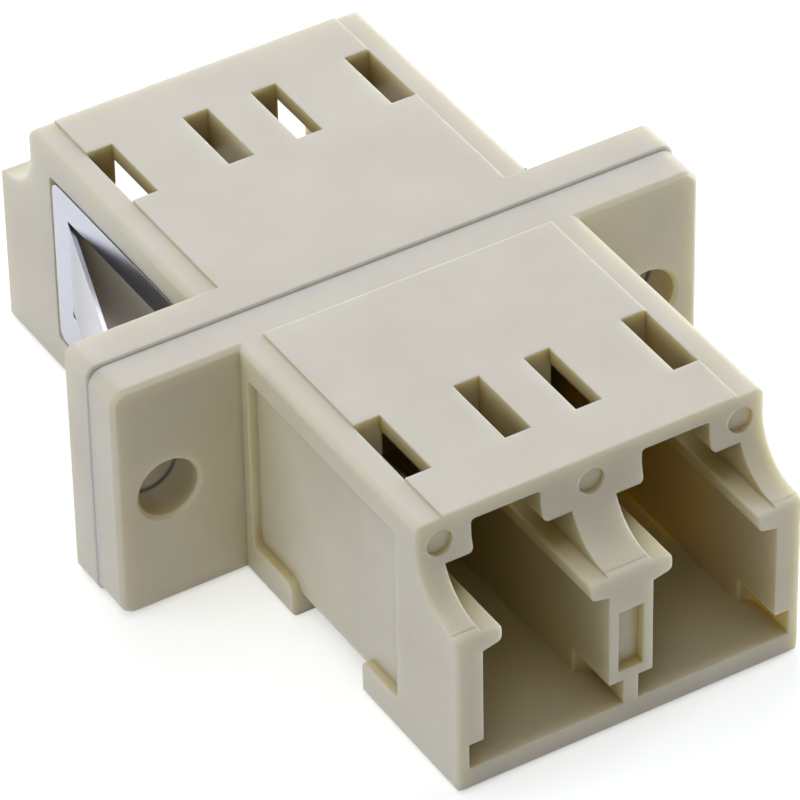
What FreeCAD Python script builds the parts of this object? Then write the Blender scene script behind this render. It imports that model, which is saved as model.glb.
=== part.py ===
import FreeCAD, Part
import math
import os

# Duplex LC fibre adapter with a screw flange, all sizes in millimetres.
# X runs along the flange, -Y looks out of the front ports, +Z is the latch side.
# The origin is the middle of the underside, on the plane where the two shells are welded.

V = FreeCAD.Vector

# ---- driving dimensions: the two moulded shells ----
BODY_WIDTH = 12.78            # across the two side walls
BODY_HEIGHT = 9.14            # underside to the top rims
HALF_LENGTH = 14.45           # weld plane to the lower end face
PANEL_WIDTH = 10.84           # raised field of the top wall
PANEL_RAISE = 0.07
TOP_EDGE_RADIUS = 0.25        # long top corners of the body
BOTTOM_EDGE_RADIUS = 0.20
CUT_MARGIN = 1.0              # how far a cutting solid stands out of the material

# ---- the stepped end: the latch side is set back behind a concave sweep ----
END_SETBACK = 2.30
SWEEP_RADIUS = 2.00
SWEEP_FLOOR = 6.25            # height where the sweep runs out flat
NOSE_RADIUS = 0.32            # top edge of the lower end face
END_EDGE_CHAMFER = 0.10       # side and bottom edges of the lower end face

# ---- screw flange ----
FLANGE_WIDTH = 22.10
PLATE_THICKNESS = 1.55        # each shell carries one plate
FRONT_CORNER_RADIUS = 0.60
REAR_CORNER_RADIUS = 0.38
PLATE_FACE_CHAMFER = 0.15     # soft edge round the outer face of a plate
WELD_CHAMFER = 0.06           # leaves a groove round the weld plane
SCREW_PITCH = 18.20
SCREW_HOLE_DIAMETER = 2.16
SCREW_HEIGHT = 4.57
SCREW_CHAMFER = 0.12

# ---- plug ports ----
PORT_PITCH = 6.25
CAVITY_WIDTH = 4.64           # takes the plug body
CAVITY_FLOOR = 0.87
LEDGE_UNDERSIDE = 5.45        # where the ledge leaves the wall
LEDGE_LIP_UNDERSIDE = 5.61    # its free edge, a little higher
LEDGE_TOP = 6.17
LEDGE_GAP = 3.26              # the latch arm passes between the two ledges
POCKET_TOP = 7.45             # the latch lugs run between ledge and corner block
CHANNEL_WIDTH = 2.54
CHANNEL_TOP = 8.62
CHANNEL_RADIUS = 0.14
BLOCK_RADIUS = 0.20           # lower inner corner of a corner block
LEDGE_TOP_RADIUS = 0.08
LEDGE_LIP_RADIUS = 0.22
FLOOR_RADIUS = 0.12
LATCH_ROOM_DEPTH = 11.60      # end face to the inner end of latch channel and pockets
WEB_THICKNESS = 1.20          # inner wall of one shell, up to the weld plane

# ---- foot notches beside each port mouth ----
NOTCH_REACH = 0.53            # sideways into the wall
NOTCH_TOP = 1.85
NOTCH_DEPTH = 2.10
NOTCH_END_RADIUS = 0.35       # round inner corners

# ---- latch windows through the top wall ----
WINDOW_SPACING = 3.64         # between the two windows of one port
WINDOW_WIDTH = 0.97
WINDOW_NEAR = 6.92            # weld plane to the nearer edge
WINDOW_LENGTH = 3.06

# ---- shallow marks left by the mould's ejector pins ----
MARK_OFFSET = 5.54
MARK_HEIGHT = 8.20
MARK_DIAMETER = 0.94
MARK_DEPTH = 0.14

# ---- recess in the face of the middle post ----
POST_RECESS_WIDTH = 0.94
POST_RECESS_BOTTOM = 2.24
POST_RECESS_TOP = 4.68
POST_RECESS_DEPTH = 0.38

# ---- seat for the panel clip, in both sides of each shell ----
SEAT_DEPTH = 0.32
SEAT_NEAR = 1.99              # weld plane to the strip beside the flange
SEAT_FAR = 10.88              # weld plane to the end post
SEAT_TOP = 8.12
SEAT_CORNER_RADIUS = 0.20
LIP_TOP = 1.33                # upper edge of the two bottom lips
STRAP_NEAR = 4.40             # the opening between the lips
STRAP_FAR = 8.75
STRAP_CORNER_RADIUS = 0.45
STRAP_DEPTH = 0.42            # channel for the strap across the underside
STRAP_FOLD_RADIUS = 0.70      # corner of the core that the clip folds over

# ---- sleeve holders on the inner wall ----
FERRULE_HEIGHT = 3.06
HOLDER_DIAMETER = 2.80
HOLDER_LENGTH = 3.10          # from the web's face
HOLDER_MOUTH_DIAMETER = 1.42
HOLDER_MOUTH_CHAMFER = 0.35

# ---- split alignment sleeves ----
SLEEVE_OUTER_DIAMETER = 1.62
SLEEVE_INNER_DIAMETER = 1.25
SLEEVE_LENGTH = 6.80
SLEEVE_SLIT = 0.22
SLEEVE_CHAMFER = 0.08

# ---- panel clip, folded from spring steel strip ----
CLIP_THICKNESS = 0.15
CLIP_STANDOFF = 0.16          # the side plates spring this far off the seat floors
CLIP_SIDE_CLEARANCE = 0.12    # between plate edges and the seat
CLIP_CORNER_RADIUS = 0.42
CLIP_STRAP_CLEARANCE = 0.14   # each side of the strap
CLIP_BEND_RADIUS = 0.68       # inside of the fold under the body
TAB_BEND_AT = 9.70            # weld plane to the fold of the spring tab
TAB_FREE_END = 3.05           # weld plane to the free end, before bending
TAB_BOTTOM = 3.20
TAB_TOP = 6.78
TAB_SLOT_TOP = 0.16           # cut above the tab
TAB_SLOT_BOTTOM = 0.26        # cut below the tab
TAB_RELIEF = 0.05             # the cuts run this far past the fold
TAB_ANGLE = 18.0
TAB_END_SLOT = 0.30           # beyond the free end
TAB_TIP_CHAMFER = 0.60

# ---- values that follow from those above ----
HALF_WIDTH = BODY_WIDTH / 2
PANEL_TOP = BODY_HEIGHT + PANEL_RAISE
FRONT_PLATE_TOP = BODY_HEIGHT            # level with the rims
REAR_PLATE_TOP = PANEL_TOP               # level with the raised field
UPPER_END = HALF_LENGTH - END_SETBACK
PORT_CENTRES = (-PORT_PITCH / 2, PORT_PITCH / 2)
SIDES = (-1, 1)
SEAT_FLOOR = HALF_WIDTH - SEAT_DEPTH
CLIP_INNER = SEAT_FLOOR + CLIP_STANDOFF
CLIP_OUTER = CLIP_INNER + CLIP_THICKNESS


def round_face(corners, to_point):
    """Flat face through corners given as (u, v, radius), each corner rounded by its radius."""
    count = len(corners)
    starts = []
    ends = []
    middles = []
    for i in range(count):
        u, v, radius = corners[i]
        here = V(u, v, 0)
        before = V(corners[i - 1][0], corners[i - 1][1], 0) - here
        after = V(corners[(i + 1) % count][0], corners[(i + 1) % count][1], 0) - here
        before.normalize()
        after.normalize()
        if radius == 0:
            starts.append(here)
            ends.append(here)
            middles.append(None)
            continue
        half_angle = before.getAngle(after) / 2
        reach = radius / math.tan(half_angle)
        bisector = before + after
        bisector.normalize()
        centre = here + bisector * (radius / math.sin(half_angle))
        starts.append(here + before * reach)
        ends.append(here + after * reach)
        middles.append(centre - bisector * radius)
    edges = []
    for i in range(count):
        if middles[i] is not None:
            arc = Part.Arc(to_point(starts[i]), to_point(middles[i]), to_point(ends[i]))
            edges.append(arc.toShape())
        leaving = to_point(ends[i])
        arriving = to_point(starts[(i + 1) % count])
        if leaving.distanceToPoint(arriving) > 1e-6:
            edges.append(Part.LineSegment(leaving, arriving).toShape())
    return Part.Face(Part.Wire(edges))


def prism_along_y(corners, y_start, y_end):
    """Solid with an (x, z) outline between two y values."""
    face = round_face(corners, lambda p: V(p.x, y_start, p.y))
    return face.extrude(V(0, y_end - y_start, 0))


def prism_along_x(corners, x_start, x_end):
    """Solid with a (y, z) outline between two x values."""
    face = round_face(corners, lambda p: V(x_start, p.x, p.y))
    return face.extrude(V(x_end - x_start, 0, 0))


def block(x_low, x_high, y_low, y_high, z_low, z_high):
    """Rectangular solid between two corners."""
    size = V(x_high - x_low, y_high - y_low, z_high - z_low)
    return Part.makeBox(size.x, size.y, size.z, V(x_low, y_low, z_low))


def rectangle(u_low, u_high, v_low, v_high, radius):
    """Corner list of a rectangle with equal corner radii."""
    return [(u_low, v_low, radius), (u_high, v_low, radius),
            (u_high, v_high, radius), (u_low, v_high, radius)]


def rod_along_y(x, z, diameter, y_start, y_end):
    """Round bar along Y."""
    low = min(y_start, y_end)
    return Part.makeCylinder(diameter / 2, abs(y_end - y_start), V(x, low, z), V(0, 1, 0))


def cone_along_y(x, z, diameter_start, diameter_end, y_start, y_end):
    """Round taper along Y, from the diameter at y_start to the diameter at y_end."""
    direction = V(0, 1 if y_end > y_start else -1, 0)
    return Part.makeCone(diameter_start / 2, diameter_end / 2, abs(y_end - y_start),
                         V(x, y_start, z), direction)


def edges_where(shape, test):
    """Edges whose two ends both satisfy the test."""
    found = []
    for edge in shape.Edges:
        points = [vertex.Point for vertex in edge.Vertexes]
        if len(points) == 2 and test(points[0]) and test(points[1]):
            found.append(edge)
    return found


def near(a, b):
    """True when two lengths are the same."""
    return abs(a - b) < 1e-4


def body_block():
    """Outer tube of one shell with soft edges and the raised field on top."""
    body = prism_along_y(
        [(-HALF_WIDTH, 0, BOTTOM_EDGE_RADIUS), (HALF_WIDTH, 0, BOTTOM_EDGE_RADIUS),
         (HALF_WIDTH, BODY_HEIGHT, TOP_EDGE_RADIUS), (-HALF_WIDTH, BODY_HEIGHT, TOP_EDGE_RADIUS)],
        -HALF_LENGTH, 0)
    body = body.makeChamfer(END_EDGE_CHAMFER, edges_where(body, lambda p: near(p.y, -HALF_LENGTH)))
    panel = block(-PANEL_WIDTH / 2, PANEL_WIDTH / 2, -UPPER_END - CUT_MARGIN,
                  PLATE_FACE_CHAMFER - PLATE_THICKNESS, BODY_HEIGHT - PANEL_RAISE, PANEL_TOP)
    return body.fuse(panel)


def flange_plate(top, corner_radius):
    """Flange plate of one shell, chamfered round the outer face and at the weld."""
    half = FLANGE_WIDTH / 2
    plate = prism_along_y(rectangle(-half, half, 0, top, corner_radius), -PLATE_THICKNESS, 0)
    outer = edges_where(plate, lambda p: near(p.y, -PLATE_THICKNESS))
    plate = plate.makeChamfer(PLATE_FACE_CHAMFER, outer)
    weld = edges_where(plate, lambda p: near(p.y, 0))
    return plate.makeChamfer(WELD_CHAMFER, weld)


def weld_grooves(top):
    """The chamfer at the weld, carried on over the top and the underside of the tube."""
    out = CUT_MARGIN
    size = WELD_CHAMFER
    over = [(-size - out, top + out, 0), (out, top - size - out, 0), (out, top + out, 0)]
    under = [(-size - out, -out, 0), (out, size + out, 0), (out, -out, 0)]
    return [prism_along_x(corners, -HALF_WIDTH, HALF_WIDTH) for corners in (over, under)]


def end_sweep():
    """Everything taken away above the lower end: round nose, flat run, concave sweep, set-back face."""
    start = HALF_LENGTH + CUT_MARGIN
    top = PANEL_TOP + CUT_MARGIN
    nose = SWEEP_FLOOR - NOSE_RADIUS
    corners = [(-start, nose, 0), (-HALF_LENGTH, nose, 0), (-HALF_LENGTH, SWEEP_FLOOR, NOSE_RADIUS),
               (-UPPER_END, SWEEP_FLOOR, SWEEP_RADIUS), (-UPPER_END, top, 0), (-start, top, 0)]
    wide = HALF_WIDTH + CUT_MARGIN
    return prism_along_x(corners, -wide, wide)


def port_opening(centre):
    """Plug cavity, ledges, lug pockets and latch channel of one port."""
    cavity = CAVITY_WIDTH / 2
    gap = LEDGE_GAP / 2
    channel = CHANNEL_WIDTH / 2
    lower = [(cavity, CAVITY_FLOOR, FLOOR_RADIUS), (cavity, LEDGE_UNDERSIDE, 0),
             (gap, LEDGE_LIP_UNDERSIDE, LEDGE_LIP_RADIUS)]
    upper = [(gap, LEDGE_TOP, LEDGE_TOP_RADIUS), (cavity, LEDGE_TOP, 0),
             (cavity, POCKET_TOP, 0), (channel, POCKET_TOP, BLOCK_RADIUS),
             (channel, CHANNEL_TOP, CHANNEL_RADIUS)]
    start = HALF_LENGTH + CUT_MARGIN
    full = lower + upper
    mirrored = [(-u, v, r) for u, v, r in reversed(full)]
    mouth = [(centre + u, v, r) for u, v, r in full + mirrored]
    room = prism_along_y(mouth, -start, -(HALF_LENGTH - LATCH_ROOM_DEPTH))
    deep = [(centre + u, v, r) for u, v, r in
            rectangle(-cavity, cavity, CAVITY_FLOOR, LEDGE_UNDERSIDE, FLOOR_RADIUS)]
    plug_room = prism_along_y(deep, -(HALF_LENGTH - LATCH_ROOM_DEPTH + CUT_MARGIN), -WEB_THICKNESS)
    return room.fuse(plug_room)


def foot_notches(centre):
    """Wider foot of the port mouth, under the wall on each side, with round inner corners."""
    reach = CAVITY_WIDTH / 2 + NOTCH_REACH
    start = -HALF_LENGTH - CUT_MARGIN
    end = -HALF_LENGTH + NOTCH_DEPTH
    outline = [(centre - reach, start, 0), (centre + reach, start, 0),
               (centre + reach, end, NOTCH_END_RADIUS), (centre - reach, end, NOTCH_END_RADIUS)]
    foot = round_face(outline, lambda p: V(p.x, p.y, CAVITY_FLOOR))
    return foot.extrude(V(0, 0, NOTCH_TOP - CAVITY_FLOOR))


def latch_windows():
    """Rectangular windows over the lug pockets, two for each port."""
    cuts = []
    for centre in PORT_CENTRES:
        for side in SIDES:
            x = centre + side * WINDOW_SPACING / 2
            cuts.append(block(x - WINDOW_WIDTH / 2, x + WINDOW_WIDTH / 2,
                              -WINDOW_NEAR - WINDOW_LENGTH, -WINDOW_NEAR,
                              LEDGE_TOP, PANEL_TOP + CUT_MARGIN))
    return cuts


def lug_rooms():
    """Room behind the end block of each port, where the latch lugs snap up under the windows."""
    reach = (WINDOW_SPACING + WINDOW_WIDTH) / 2
    far = -WINDOW_NEAR - WINDOW_LENGTH
    return [block(centre - reach, centre + reach, far, -WINDOW_NEAR, LEDGE_TOP, CHANNEL_TOP)
            for centre in PORT_CENTRES]


def ejector_marks():
    """Three shallow round dimples in the set-back end face."""
    return [rod_along_y(x, MARK_HEIGHT, MARK_DIAMETER, -UPPER_END - CUT_MARGIN, -UPPER_END + MARK_DEPTH)
            for x in (-MARK_OFFSET, 0, MARK_OFFSET)]


def post_recess():
    """Shallow rectangular recess in the end of the middle post."""
    half = POST_RECESS_WIDTH / 2
    return block(-half, half, -HALF_LENGTH - CUT_MARGIN, -HALF_LENGTH + POST_RECESS_DEPTH,
                 POST_RECESS_BOTTOM, POST_RECESS_TOP)


def clip_seat(side):
    """Seat in one side wall, open downwards between the two lips, with a soft outline."""
    corners = [(-SEAT_FAR, LIP_TOP, SEAT_CORNER_RADIUS), (-STRAP_FAR, LIP_TOP, SEAT_CORNER_RADIUS),
               (-STRAP_FAR, -CUT_MARGIN, 0), (-STRAP_NEAR, -CUT_MARGIN, 0),
               (-STRAP_NEAR, LIP_TOP, STRAP_CORNER_RADIUS), (-SEAT_NEAR, LIP_TOP, SEAT_CORNER_RADIUS),
               (-SEAT_NEAR, SEAT_TOP, SEAT_CORNER_RADIUS), (-SEAT_FAR, SEAT_TOP, SEAT_CORNER_RADIUS)]
    return prism_along_x(corners, side * SEAT_FLOOR, side * (HALF_WIDTH + CUT_MARGIN))


def strap_channel():
    """Shallow channel round the underside for the strap, with rounded corners for it to fold over."""
    wide = HALF_WIDTH + CUT_MARGIN
    around = block(-wide, wide, -STRAP_FAR, -STRAP_NEAR, -CUT_MARGIN, LIP_TOP)
    core = prism_along_y(
        [(-SEAT_FLOOR, STRAP_DEPTH, STRAP_FOLD_RADIUS), (SEAT_FLOOR, STRAP_DEPTH, STRAP_FOLD_RADIUS),
         (SEAT_FLOOR, BODY_HEIGHT, 0), (-SEAT_FLOOR, BODY_HEIGHT, 0)], -STRAP_FAR, -STRAP_NEAR)
    return around.cut(core)


def screw_holes():
    """Two clearance holes with a small chamfer at the outer face of the plate."""
    cuts = []
    for side in SIDES:
        x = side * SCREW_PITCH / 2
        wide = SCREW_HOLE_DIAMETER + 2 * SCREW_CHAMFER
        cuts.append(rod_along_y(x, SCREW_HEIGHT, SCREW_HOLE_DIAMETER, -PLATE_THICKNESS, 0))
        cuts.append(cone_along_y(x, SCREW_HEIGHT, wide, SCREW_HOLE_DIAMETER,
                                 -PLATE_THICKNESS, -PLATE_THICKNESS + SCREW_CHAMFER))
    return cuts


def sleeve_holder(centre):
    """Tube that stands on the inner wall and holds one end of a sleeve."""
    return rod_along_y(centre, FERRULE_HEIGHT, HOLDER_DIAMETER,
                       -WEB_THICKNESS - HOLDER_LENGTH, -WEB_THICKNESS / 2)


def sleeve_bore(centre):
    """Bore for the sleeve, closed by a narrower mouth with a lead-in."""
    tip = -WEB_THICKNESS - HOLDER_LENGTH
    bore = rod_along_y(centre, FERRULE_HEIGHT, SLEEVE_OUTER_DIAMETER, -SLEEVE_LENGTH / 2, 0)
    mouth = rod_along_y(centre, FERRULE_HEIGHT, HOLDER_MOUTH_DIAMETER, tip, 0)
    wide = HOLDER_MOUTH_DIAMETER + 2 * HOLDER_MOUTH_CHAMFER
    lead_in = cone_along_y(centre, FERRULE_HEIGHT, wide, HOLDER_MOUTH_DIAMETER,
                           tip, tip + HOLDER_MOUTH_CHAMFER)
    return bore.fuse([mouth, lead_in])


def make_shell(plate_top, corner_radius):
    """One shell in the front position: tube, flange plate, ports, seats and sleeve holders."""
    seats = [clip_seat(side) for side in SIDES]
    body = body_block().cut([end_sweep(), strap_channel()] + seats).removeSplitter()
    shell = body.fuse(flange_plate(plate_top, corner_radius))
    cuts = [post_recess()] + latch_windows() + lug_rooms() + ejector_marks()
    cuts += screw_holes() + weld_grooves(plate_top)
    for centre in PORT_CENTRES:
        cuts += [port_opening(centre), foot_notches(centre)]
    shell = shell.cut(cuts)
    shell = shell.fuse([sleeve_holder(centre) for centre in PORT_CENTRES])
    shell = shell.cut([sleeve_bore(centre) for centre in PORT_CENTRES])
    return shell.removeSplitter()


def make_sleeve(centre):
    """Split alignment sleeve, slit on the side away from the latch."""
    half = SLEEVE_LENGTH / 2
    sleeve = rod_along_y(centre, FERRULE_HEIGHT, SLEEVE_OUTER_DIAMETER, -half, half)
    sleeve = sleeve.cut(rod_along_y(centre, FERRULE_HEIGHT, SLEEVE_INNER_DIAMETER, -half, half))
    wide = SLEEVE_INNER_DIAMETER + 2 * SLEEVE_CHAMFER
    for end in SIDES:
        sleeve = sleeve.cut(cone_along_y(centre, FERRULE_HEIGHT, wide, SLEEVE_INNER_DIAMETER,
                                         end * half, end * (half - SLEEVE_CHAMFER)))
    slit = block(centre - SLEEVE_SLIT / 2, centre + SLEEVE_SLIT / 2, -half - CUT_MARGIN, half + CUT_MARGIN,
                 FERRULE_HEIGHT - SLEEVE_OUTER_DIAMETER, FERRULE_HEIGHT)
    return sleeve.cut(slit)


def clip_ring():
    """Strip bent to a U round the body, as wide as the strap."""
    outer = CLIP_OUTER
    inner = CLIP_INNER
    top = LIP_TOP + CLIP_CORNER_RADIUS
    under = STRAP_DEPTH - CLIP_THICKNESS
    outer_radius = CLIP_BEND_RADIUS + CLIP_THICKNESS
    corners = [(-outer, under, outer_radius), (outer, under, outer_radius), (outer, top, 0),
               (inner, top, 0), (inner, STRAP_DEPTH, CLIP_BEND_RADIUS),
               (-inner, STRAP_DEPTH, CLIP_BEND_RADIUS), (-inner, top, 0), (-outer, top, 0)]
    return prism_along_y(corners, STRAP_NEAR + CLIP_STRAP_CLEARANCE, STRAP_FAR - CLIP_STRAP_CLEARANCE)


def clip_plate(side):
    """Side plate of the clip with the cut-out that frees the tab."""
    gap = CLIP_SIDE_CLEARANCE
    outline = rectangle(SEAT_NEAR + gap, SEAT_FAR - gap, LIP_TOP + gap, SEAT_TOP - gap, CLIP_CORNER_RADIUS)
    plate = prism_along_x(outline, side * CLIP_INNER, side * CLIP_OUTER)
    opening = rectangle(TAB_FREE_END - TAB_END_SLOT, TAB_BEND_AT + TAB_RELIEF,
                        TAB_BOTTOM - TAB_SLOT_BOTTOM, TAB_TOP + TAB_SLOT_TOP, 0)
    window = prism_along_x(opening, side * (CLIP_INNER - CUT_MARGIN), side * (CLIP_OUTER + CUT_MARGIN))
    root = prism_along_x(rectangle(TAB_BEND_AT, TAB_BEND_AT + TAB_RELIEF + CLIP_SIDE_CLEARANCE,
                                   TAB_BOTTOM, TAB_TOP, 0), side * CLIP_INNER, side * CLIP_OUTER)
    return plate.cut(window).fuse(root)


def clip_tab(side):
    """Spring tab, swung outwards about its fold."""
    length = TAB_BEND_AT - TAB_FREE_END
    outline = [(TAB_BEND_AT - length, TAB_BOTTOM + TAB_TIP_CHAMFER, 0),
               (TAB_BEND_AT - length + TAB_TIP_CHAMFER, TAB_BOTTOM, 0), (TAB_BEND_AT, TAB_BOTTOM, 0),
               (TAB_BEND_AT, TAB_TOP, 0), (TAB_BEND_AT - length + TAB_TIP_CHAMFER, TAB_TOP, 0),
               (TAB_BEND_AT - length, TAB_TOP - TAB_TIP_CHAMFER, 0)]
    tab = prism_along_x(outline, side * CLIP_INNER, side * CLIP_OUTER)
    hinge = V(side * CLIP_INNER, TAB_BEND_AT, 0)
    tab.rotate(hinge, V(0, 0, 1), side * TAB_ANGLE)
    fold = Part.makeCylinder(CLIP_THICKNESS, TAB_TOP - TAB_BOTTOM,
                             V(side * CLIP_INNER, TAB_BEND_AT, TAB_BOTTOM), V(0, 0, 1))
    keep = block(min(side * CLIP_INNER, side * CLIP_OUTER), max(side * CLIP_INNER, side * CLIP_OUTER),
                 TAB_BEND_AT - CLIP_THICKNESS, TAB_BEND_AT, TAB_BOTTOM, TAB_TOP)
    return tab.fuse(fold.common(keep))


def make_clip():
    """Panel clip: strap under the body, two side plates and two outward tabs, one folded piece."""
    clip = clip_ring()
    for side in SIDES:
        clip = clip.fuse([clip_plate(side), clip_tab(side)])
    return clip.removeSplitter()


def save(shape, name):
    """Write one piece as STEP."""
    shape.exportStep(os.path.join("parts", name + ".step"))


os.makedirs("parts", exist_ok=True)
save(make_shell(FRONT_PLATE_TOP, FRONT_CORNER_RADIUS), "front_shell")
save(make_shell(REAR_PLATE_TOP, REAR_CORNER_RADIUS).mirror(V(0, 0, 0), V(0, 1, 0)), "rear_shell")
save(make_sleeve(PORT_CENTRES[0]), "left_sleeve")
save(make_sleeve(PORT_CENTRES[1]), "right_sleeve")
save(make_clip(), "panel_clip")
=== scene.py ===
"""Looks of a duplex LC fibre adapter: moulded beige shells, bright steel panel clip, ceramic sleeves."""
import math
import bmesh
import bpy
from mathutils import Matrix, Vector

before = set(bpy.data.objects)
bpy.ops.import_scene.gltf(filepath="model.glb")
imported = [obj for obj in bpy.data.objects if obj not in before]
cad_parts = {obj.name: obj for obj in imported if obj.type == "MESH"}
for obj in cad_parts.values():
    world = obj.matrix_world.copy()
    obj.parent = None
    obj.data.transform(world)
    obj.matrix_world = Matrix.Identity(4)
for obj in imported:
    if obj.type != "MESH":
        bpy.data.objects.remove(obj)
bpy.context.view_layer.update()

MM = 0.001
SOFT_SAMPLES = 3               # rays that each soft edge or sheltered place is worked out from

# ---------------------------------------------------------------- shells
SHELL_FLOW = [(0.25, "#D0C6B8"), (0.75, "#D7CEC2")]
FLOW_WIDTH = 3.0 * MM          # pale clouds left by the melt
MOULD_GRAIN = 0.10 * MM        # blasted tool, drawn as coarse as it needs to show
MOULD_GRAIN_DEPTH = 0.01 * MM
MOULD_GRAIN_STRENGTH = 0.08
SHELL_ROUGHNESS = 0.42
PLASTIC_IOR = 1.5
EDGE_SOFTNESS = 0.11 * MM
SHELL_SCATTER = 0.80
SHELL_SCATTER_DEPTH = 1.25 * MM
SHELL_SCATTER_COLOURS = (1.0, 0.92, 0.48)     # red and green run deeper than blue
SHELTER_REACH = 8.0 * MM       # how far a wall counts as shelter for the painted shade
# painted shade, from amber and olive in deep shelter to plain colour in the open air
PAINTED_RECESS_SHADES = [(0.00, "#CDBC73"), (0.22, "#DBCF97"), (0.47, "#FFFBE2"), (0.85, "#F8FFF8"), (0.97, "#FFFFFF")]
# painted shadow of the groove along the weld: faint in the open air, full where sheltered
WELD_SHADOW_COLOUR = "#5C5028"
WELD_LINE_WIDTH = 0.08 * MM    # to each side of the weld plane
WELD_LINE_CORE = 0.024 * MM    # full strength within this
WELD_LINE_SPREAD = 0.10 * MM   # more where it lies hidden in the screw holes
WELD_LINE_OUTSIDE = 0.15       # share of it that shows in the open air
WELD_OPEN_AIR = 0.9            # open share of the surroundings there
WELD_SHELTERED = 0.4           # and where the line shows in full

# ---------------------------------------------------------------- clip
STEEL_BRIGHT = "#C9CAD4"
STEEL_DULL = "#B1B2BD"
STEEL_ROUGHNESS = 0.24
ROLLING_LINE = 0.04 * MM
ROLLING_LINE_LENGTH = 3.0 * MM
ROLLING_LINE_DEPTH = 0.004 * MM
ROLLING_LINE_STRENGTH = 0.10
STEEL_EDGE_SOFTNESS = 0.03 * MM

# ---------------------------------------------------------------- sleeves
ZIRCONIA_WHITE = "#EFEDE6"
ZIRCONIA_ROUGHNESS = 0.12
ZIRCONIA_IOR = 2.15
ZIRCONIA_CLOUD = 0.5 * MM
ZIRCONIA_CLOUD_DEPTH = 0.002 * MM
ZIRCONIA_CLOUD_STRENGTH = 0.05
ZIRCONIA_SCATTER = 0.2
ZIRCONIA_SCATTER_DEPTH = 0.3 * MM
ZIRCONIA_SCATTER_COLOURS = (1.0, 0.9, 0.8)

# ---------------------------------------------------------------- studio
FLOOR_WHITE = "#F4F4F4"
FLOOR_GLOW = 0.42              # lifts the table to white where it is seen
FLOOR_SIZE = 1200 * MM
FLOOR_GAP = 0.02 * MM          # keeps the table clear of the faces that rest on it
WORLD_LEVEL = 0.02

# ---------------------------------------------------------------- lamps
LAMP_DISTANCE = 400 * MM
# direction from the adapter, width, power in watts, tint
LAMPS = {
    "key_above": ((-0.1, 0.2, 1.0), 400 * MM, 0.90, "#FAFCFF"),
    "side_left": ((-1.0, 0.15, 0.4), 300 * MM, 0.51, "#F0FAFF"),
    "front_right": ((0.6, -1.0, 0.35), 300 * MM, 0.04, "#F9FAE9"),
    "front_left": ((-0.5, -0.72, 0.62), 220 * MM, 0.21, "#F9FAE9"),
    "side_right": ((1.0, 0.0, 0.2), 150 * MM, 1.25, "#F0FAFF"),
    "back_low": ((0.55, 1.0, 0.45), 300 * MM, 0.60, "#F8FBFF"),
}

# ---------------------------------------------------------------- camera
CAMERA_AIM = Vector((-0.572, -1.653, 4.570)) * MM
CAMERA_DISTANCE = 204.9 * MM
CAMERA_AZIMUTH = -30.83
CAMERA_ELEVATION = 38.69
CAMERA_ROLL = -1.17
CAMERA_LENS = 284.96
SENSOR_WIDTH = 36.0
CAMERA_CLIP_START = 10 * MM


def colour(hex_value):
    """Linear colour of an sRGB hex value."""
    parts = [int(hex_value[i:i + 2], 16) / 255 for i in (1, 3, 5)]
    linear = [c / 12.92 if c <= 0.04045 else ((c + 0.055) / 1.055) ** 2.4 for c in parts]
    return (*linear, 1.0)


def add(tree, kind, settings=None, stops=(), **links):
    """One node with its settings. A link names an input, or gives its number after an i, and holds a socket,
    a value or a colour. The stops of a colour ramp are (place, sRGB hex) from low to high."""
    node = tree.nodes.new(kind)
    for name, value in (settings or {}).items():
        setattr(node, name, value)
    for number, (place, hex_value) in enumerate(stops):
        elements = node.color_ramp.elements
        element = elements[number] if number < len(elements) else elements.new(1.0)
        element.position = place
        element.color = colour(hex_value)
    for name, value in links.items():
        key = int(name[1:]) if name[0] == "i" and name[1:].isdigit() else name.replace("_", " ")
        if isinstance(value, bpy.types.NodeSocket):
            tree.links.new(value, node.inputs[key])
        else:
            node.inputs[key].default_value = value
    return node


def new_material(name):
    """Empty node material with its output."""
    material = bpy.data.materials.new(name)
    material.use_nodes = True
    material.node_tree.nodes.clear()
    return material, material.node_tree


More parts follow.
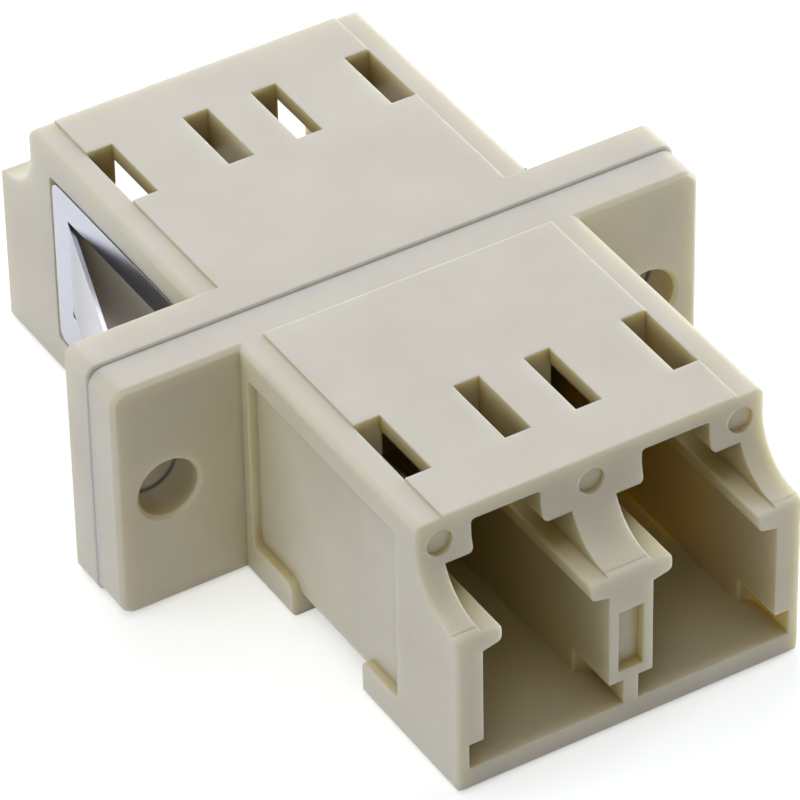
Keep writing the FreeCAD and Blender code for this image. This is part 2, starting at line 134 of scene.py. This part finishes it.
def moulded_shell():
    """Injection-moulded PBT, satin from a lightly blasted tool: pale flow clouds and softly lit edges,
    and painted amber and olive shade in its ports and recesses, deeper where more of the surroundings are
    shut in.
    Along the weld of the two shells a painted groove shadow shows as a faint line outside and as a dark, matt
    one in the screw holes."""
    material, tree = new_material("moulded_beige_pbt")
    place = add(tree, "ShaderNodeTexCoord").outputs["Object"]
    flow = add(tree, "ShaderNodeTexNoise", Vector=place, Scale=1 / FLOW_WIDTH, Detail=2.0, Roughness=0.5)
    tone = add(tree, "ShaderNodeValToRGB", stops=SHELL_FLOW, Fac=flow.outputs["Fac"])
    open_air = add(tree, "ShaderNodeAmbientOcclusion", {"samples": SOFT_SAMPLES, "only_local": True},
                   Distance=SHELTER_REACH)
    # painted shade: the colour is darkened towards amber and olive where the surface is sheltered
    shade = add(tree, "ShaderNodeValToRGB", stops=PAINTED_RECESS_SHADES, Fac=open_air.outputs["AO"])
    skin = add(tree, "ShaderNodeMix", {"data_type": "RGBA", "blend_type": "MULTIPLY"}, Factor=1.0,
               i6=tone.outputs["Color"], i7=shade.outputs["Color"])
    along = add(tree, "ShaderNodeSeparateXYZ", Vector=place).outputs["Y"]
    off_weld = add(tree, "ShaderNodeMath", {"operation": "ABSOLUTE"}, i0=along)
    hidden = add(tree, "ShaderNodeMapRange", Value=open_air.outputs["AO"], From_Min=WELD_OPEN_AIR,
                 From_Max=WELD_SHELTERED, To_Min=WELD_LINE_OUTSIDE, To_Max=1.0)
    width = add(tree, "ShaderNodeMath", {"operation": "MULTIPLY_ADD"}, i0=hidden.outputs["Result"],
                i1=WELD_LINE_SPREAD, i2=WELD_LINE_WIDTH)
    weld = add(tree, "ShaderNodeMapRange", {"interpolation_type": "SMOOTHSTEP"}, Value=off_weld.outputs[0],
               From_Min=width.outputs[0], From_Max=WELD_LINE_CORE)
    # painted shadow along the weld, strongest in sheltered places such as the screw holes
    painted_weld_shadow = add(tree, "ShaderNodeMath", {"operation": "MULTIPLY"}, i0=weld.outputs["Result"],
                     i1=hidden.outputs["Result"])
    skin = add(tree, "ShaderNodeMix", {"data_type": "RGBA", "blend_type": "MULTIPLY"},
               Factor=painted_weld_shadow.outputs[0], i6=skin.outputs[2], i7=colour(WELD_SHADOW_COLOUR))
    roughness = add(tree, "ShaderNodeMapRange", Value=painted_weld_shadow.outputs[0],
                    To_Min=SHELL_ROUGHNESS, To_Max=1.0)
    grain = add(tree, "ShaderNodeTexNoise", Vector=place, Scale=1 / MOULD_GRAIN, Detail=2.0)
    soft = add(tree, "ShaderNodeBevel", {"samples": SOFT_SAMPLES}, Radius=EDGE_SOFTNESS)
    bump = add(tree, "ShaderNodeBump", Strength=MOULD_GRAIN_STRENGTH, Distance=MOULD_GRAIN_DEPTH,
               Height=grain.outputs["Fac"], Normal=soft.outputs["Normal"])
    shader = add(tree, "ShaderNodeBsdfPrincipled", Base_Color=skin.outputs[2],
                 Roughness=roughness.outputs["Result"], IOR=PLASTIC_IOR, Subsurface_Weight=SHELL_SCATTER,
                 Subsurface_Radius=SHELL_SCATTER_COLOURS, Subsurface_Scale=SHELL_SCATTER_DEPTH,
                 Normal=bump.outputs["Normal"])
    add(tree, "ShaderNodeOutputMaterial", Surface=shader.outputs["BSDF"])
    return material


def rolled_steel():
    """Bright rolled stainless strip: a soft mirror with faint lines along the rolling direction."""
    material, tree = new_material("bright_rolled_stainless")
    place = add(tree, "ShaderNodeTexCoord").outputs["Object"]
    lines = add(tree, "ShaderNodeMapping", Vector=place,
                Scale=(1 / ROLLING_LINE, 1 / ROLLING_LINE_LENGTH, 1 / ROLLING_LINE))
    rolled = add(tree, "ShaderNodeTexNoise", Vector=lines.outputs["Vector"], Scale=1.0, Detail=3.0)
    tone = add(tree, "ShaderNodeMix", {"data_type": "RGBA"}, Factor=rolled.outputs["Fac"],
               i6=colour(STEEL_DULL), i7=colour(STEEL_BRIGHT))
    soft = add(tree, "ShaderNodeBevel", {"samples": SOFT_SAMPLES}, Radius=STEEL_EDGE_SOFTNESS)
    bump = add(tree, "ShaderNodeBump", Strength=ROLLING_LINE_STRENGTH, Distance=ROLLING_LINE_DEPTH,
               Height=rolled.outputs["Fac"], Normal=soft.outputs["Normal"])
    shader = add(tree, "ShaderNodeBsdfPrincipled", Base_Color=tone.outputs[2], Metallic=1.0,
                 Roughness=STEEL_ROUGHNESS, Normal=bump.outputs["Normal"])
    add(tree, "ShaderNodeOutputMaterial", Surface=shader.outputs["BSDF"])
    return material


def ground_zirconia():
    """Centreless-ground and polished zirconia: dense white ceramic with a hard gloss."""
    material, tree = new_material("ground_zirconia_ceramic")
    place = add(tree, "ShaderNodeTexCoord").outputs["Object"]
    cloud = add(tree, "ShaderNodeTexNoise", Vector=place, Scale=1 / ZIRCONIA_CLOUD, Detail=2.0)
    bump = add(tree, "ShaderNodeBump", Strength=ZIRCONIA_CLOUD_STRENGTH, Distance=ZIRCONIA_CLOUD_DEPTH,
               Height=cloud.outputs["Fac"])
    shader = add(tree, "ShaderNodeBsdfPrincipled", Base_Color=colour(ZIRCONIA_WHITE),
                 Roughness=ZIRCONIA_ROUGHNESS, IOR=ZIRCONIA_IOR, Subsurface_Weight=ZIRCONIA_SCATTER,
                 Subsurface_Radius=ZIRCONIA_SCATTER_COLOURS, Subsurface_Scale=ZIRCONIA_SCATTER_DEPTH,
                 Normal=bump.outputs["Normal"])
    add(tree, "ShaderNodeOutputMaterial", Surface=shader.outputs["BSDF"])
    return material


def dress(node_name, material):
    """Give every slot of a CAD node the finished material."""
    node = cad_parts[node_name]
    for slot in node.material_slots:
        slot.material = material


def seen_directly(tree):
    """1 for rays that look at the backdrop straight, in a reflection or through a clear piece."""
    path = add(tree, "ShaderNodeLightPath")
    both = add(tree, "ShaderNodeMath", {"operation": "MAXIMUM"}, i0=path.outputs["Is Camera Ray"],
               i1=path.outputs["Is Glossy Ray"])
    return add(tree, "ShaderNodeMath", {"operation": "MAXIMUM"}, i0=both.outputs[0],
               i1=path.outputs["Is Transmission Ray"]).outputs[0]


def white_world():
    """Plain white sky: full white where it is seen, a plain level where it lights."""
    world = bpy.data.worlds.new("white_studio")
    bpy.context.scene.world = world
    world.use_nodes = True
    tree = world.node_tree
    tree.nodes.clear()
    level = add(tree, "ShaderNodeMapRange", Value=seen_directly(tree), To_Min=WORLD_LEVEL, To_Max=1.0)
    sky = add(tree, "ShaderNodeBackground", Color=(1, 1, 1, 1), Strength=level.outputs["Result"])
    add(tree, "ShaderNodeOutputWorld", Surface=sky.outputs["Background"])


def white_floor():
    """Matt white table top, kept white to the eye but for the shadow under the adapter."""
    material, tree = new_material("matt_white_table")
    paper = add(tree, "ShaderNodeBsdfDiffuse", Color=colour(FLOOR_WHITE))
    glow_level = add(tree, "ShaderNodeMath", {"operation": "MULTIPLY"}, i0=seen_directly(tree), i1=FLOOR_GLOW)
    glow = add(tree, "ShaderNodeEmission", Color=(1, 1, 1, 1), Strength=glow_level.outputs[0])
    both = add(tree, "ShaderNodeAddShader", i0=paper.outputs[0], i1=glow.outputs[0])
    add(tree, "ShaderNodeOutputMaterial", Surface=both.outputs[0])
    sheet = bmesh.new()
    bmesh.ops.create_grid(sheet, x_segments=1, y_segments=1, size=FLOOR_SIZE / 2,
                          matrix=Matrix.Translation((0, 0, -FLOOR_GAP)))
    mesh = bpy.data.meshes.new("floor")
    sheet.to_mesh(mesh)
    sheet.free()
    floor = bpy.data.objects.new("floor", mesh)
    bpy.context.scene.collection.objects.link(floor)
    mesh.materials.append(material)


def soft_lamp(name, direction, width, power, tint):
    """Square soft box that faces the adapter from a direction."""
    data = bpy.data.lights.new(name, "AREA")
    data.shape = "SQUARE"
    data.size = width
    data.energy = power
    data.color = colour(tint)[:3]
    lamp = bpy.data.objects.new(name, data)
    bpy.context.scene.collection.objects.link(lamp)
    towards = Vector(direction).normalized()
    lamp.location = towards * LAMP_DISTANCE
    lamp.rotation_euler = towards.to_track_quat("Z", "Y").to_euler()


def aim_camera():
    """Long lens from the front left, a little under half way up."""
    data = bpy.data.cameras.new("camera")
    data.lens = CAMERA_LENS
    data.sensor_width = SENSOR_WIDTH
    data.clip_start = CAMERA_CLIP_START
    camera = bpy.data.objects.new("camera", data)
    bpy.context.scene.collection.objects.link(camera)
    azimuth, elevation = math.radians(CAMERA_AZIMUTH), math.radians(CAMERA_ELEVATION)
    back = Vector((math.sin(azimuth) * math.cos(elevation), -math.cos(azimuth) * math.cos(elevation),
                   math.sin(elevation)))
    turn = back.to_track_quat("Z", "Y").to_matrix() @ Matrix.Rotation(math.radians(CAMERA_ROLL), 3, "Z")
    camera.location = CAMERA_AIM + back * CAMERA_DISTANCE
    camera.rotation_euler = turn.to_euler()
    bpy.context.scene.camera = camera


bpy.context.scene.view_settings.view_transform = "Standard"

shell_material = moulded_shell()
sleeve_material = ground_zirconia()
for shell in ("front_shell", "rear_shell"):
    dress(shell, shell_material)
for sleeve in ("left_sleeve", "right_sleeve"):
    dress(sleeve, sleeve_material)
dress("panel_clip", rolled_steel())

white_world()
white_floor()
for lamp_name, lamp_values in LAMPS.items():
    soft_lamp(lamp_name, *lamp_values)
aim_camera()
